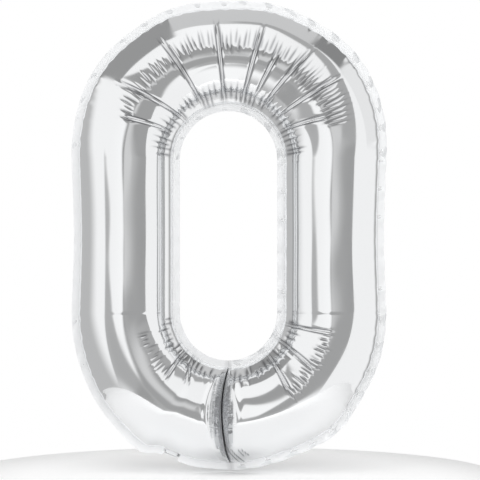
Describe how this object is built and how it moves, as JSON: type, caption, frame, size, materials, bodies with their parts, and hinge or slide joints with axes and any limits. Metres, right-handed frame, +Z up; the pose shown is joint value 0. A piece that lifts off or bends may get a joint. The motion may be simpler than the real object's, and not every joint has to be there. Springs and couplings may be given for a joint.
{
  "type": "foil number balloon",
  "caption": "Inflated silver foil balloon shaped as the numeral zero: a sealed tube round an open hole, with a folded filling tail and a self-sealing valve.",
  "frame": {"origin": "middle of the footprint: on the seam plane and the numeral's centre line, level with the lowest point of the outline", "axes": "+Z up the numeral, +Y from the numeral's front face to its back, +X to the reader's right"},
  "size_m": [0.593, 0.179, 0.879],
  "materials": {
    "mirror_foil": "mirror-bright metallised film",
    "heat_seal": "fused clear layer between the films",
    "valve_film": "thin translucent film"
  },
  "bodies": {
    "balloon": {"front_panel": "mirror_foil", "back_panel": "mirror_foil", "outer_seal": "heat_seal", "hole_seal": "heat_seal", "cross_seal": "heat_seal", "valve_back_ply": "valve_film", "valve_neck_ply": "valve_film"},
    "valve_flap": {"valve_front_ply": "valve_film"},
    "tail": {"tail_front_ply": "mirror_foil", "tail_back_ply": "mirror_foil", "tail_left_seal": "heat_seal", "tail_right_seal": "heat_seal", "valve_mouth_front_ply": "valve_film", "valve_mouth_back_ply": "valve_film"}
  },
  "joints": [
    {"name": "tail_fold", "type": "hinge", "parent": "balloon", "child": "tail", "pos_m": [-0.10901, 0, 0.02669], "axis": [-0.9272, 0, 0.3746], "range_deg": [0, 210]},
    {"name": "valve_flap_hinge", "type": "hinge", "parent": "balloon", "child": "valve_flap", "pos_m": [-0.10555, -0.00028, 0.03527], "axis": [0.9272, 0, -0.3746], "range_deg": [0, 8]}
  ]
}
